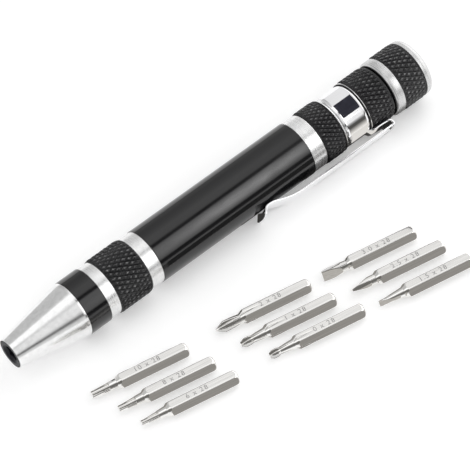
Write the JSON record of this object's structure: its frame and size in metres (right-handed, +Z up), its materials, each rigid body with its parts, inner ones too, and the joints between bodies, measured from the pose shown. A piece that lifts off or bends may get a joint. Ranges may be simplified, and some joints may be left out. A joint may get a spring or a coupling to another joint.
{
  "type": "pocket screwdriver",
  "caption": "Pen-shaped precision screwdriver with a hexagonal bit socket, knurled grip, pocket clip, free-turning end cap, bit store in the barrel, and a set of bits.",
  "frame": {"origin": "centre of the bit socket's mouth, on the pen's axis", "axes": "+X along the pen from the socket to the swivel cap, +Z up, the floor at Z = -8.5 mm; the clip and the bits lie on the -Y side"},
  "size_m": [0.1393, 0.0654, 0.017],
  "materials": {
    "socket_steel": "blackened",
    "magnet": "nickel plated",
    "bare_aluminium": "fine turned",
    "black_aluminium": "gloss black anodised, with bare turned rings",
    "seal_rubber": "smooth",
    "carrier_plastic": "satin",
    "clip_chrome": "polished",
    "washer_nylon": "smooth",
    "axle_steel": "turned",
    "spring_steel": "oiled",
    "bit_steel": "satin"
  },
  "bodies": {
    "barrel": {"barrel": "black_aluminium", "nose_cone": "bare_aluminium", "bit_socket": "socket_steel", "socket_magnet": "magnet"},
    "seal": {"seal_ring": "seal_rubber"},
    "rear": {"rear_sleeve": "black_aluminium", "bit_carrier": "carrier_plastic", "thrust_washer": "washer_nylon"},
    "clip": {"clip_collar": "clip_chrome"},
    "arm": {"clip_arm": "clip_chrome"},
    "cap": {"swivel_cap": "black_aluminium", "cap_axle": "axle_steel", "axle_clip": "spring_steel"},
    "star_bit_large": {"star_bit_large": "bit_steel"},
    "star_bit_medium": {"star_bit_medium": "bit_steel"},
    "star_bit_small": {"star_bit_small": "bit_steel"},
    "cross_bit_large": {"cross_bit_large": "bit_steel"},
    "cross_bit_medium": {"cross_bit_medium": "bit_steel"},
    "cross_bit_small": {"cross_bit_small": "bit_steel"},
    "flat_bit_wide": {"flat_bit_wide": "bit_steel"},
    "flat_bit_turned": {"flat_bit_turned": "bit_steel"},
    "flat_bit_narrow": {"flat_bit_narrow": "bit_steel"}
  },
  "joints": [
    {"name": "rear_draw", "type": "slide", "parent": "barrel", "child": "seal", "axis": [1, 0, 0], "range_m": [0, 0.075]},
    {"name": "rear_turn", "type": "hinge", "parent": "seal", "child": "rear", "pos_m": [0.0972, 0, 0], "axis": [1, 0, 0], "continuous": true},
    {"name": "clip_turn", "type": "hinge", "parent": "rear", "child": "clip", "pos_m": [0.1136, 0, 0], "axis": [1, 0, 0], "continuous": true},
    {"name": "clip_flex", "type": "hinge", "parent": "clip", "child": "arm", "pos_m": [0.1223, -0.0095, -0.00496], "axis": [0, -0.4627, 0.8865], "range_deg": [0, 4], "stiffness_Nm_per_rad": 5},
    {"name": "cap_spin", "type": "hinge", "parent": "rear", "child": "cap", "pos_m": [0.1325, 0, 0], "axis": [1, 0, 0], "continuous": true},
    {"name": "star_large_lift", "type": "slide", "parent": "barrel", "child": "star_bit_large", "axis": [0, 0, 1], "range_m": [0, 0.02]},
    {"name": "star_medium_lift", "type": "slide", "parent": "barrel", "child": "star_bit_medium", "axis": [0, 0, 1], "range_m": [0, 0.02]},
    {"name": "star_small_lift", "type": "slide", "parent": "barrel", "child": "star_bit_small", "axis": [0, 0, 1], "range_m": [0, 0.02]},
    {"name": "cross_large_lift", "type": "slide", "parent": "barrel", "child": "cross_bit_large", "axis": [0, 0, 1], "range_m": [0, 0.02]},
    {"name": "cross_medium_lift", "type": "slide", "parent": "barrel", "child": "cross_bit_medium", "axis": [0, 0, 1], "range_m": [0, 0.02]},
    {"name": "cross_small_lift", "type": "slide", "parent": "barrel", "child": "cross_bit_small", "axis": [0, 0, 1], "range_m": [0, 0.02]},
    {"name": "flat_wide_lift", "type": "slide", "parent": "barrel", "child": "flat_bit_wide", "axis": [0, 0, 1], "range_m": [0, 0.02]},
    {"name": "flat_turned_lift", "type": "slide", "parent": "barrel", "child": "flat_bit_turned", "axis": [0, 0, 1], "range_m": [0, 0.02]},
    {"name": "flat_narrow_lift", "type": "slide", "parent": "barrel", "child": "flat_bit_narrow", "axis": [0, 0, 1], "range_m": [0, 0.02]}
  ]
}
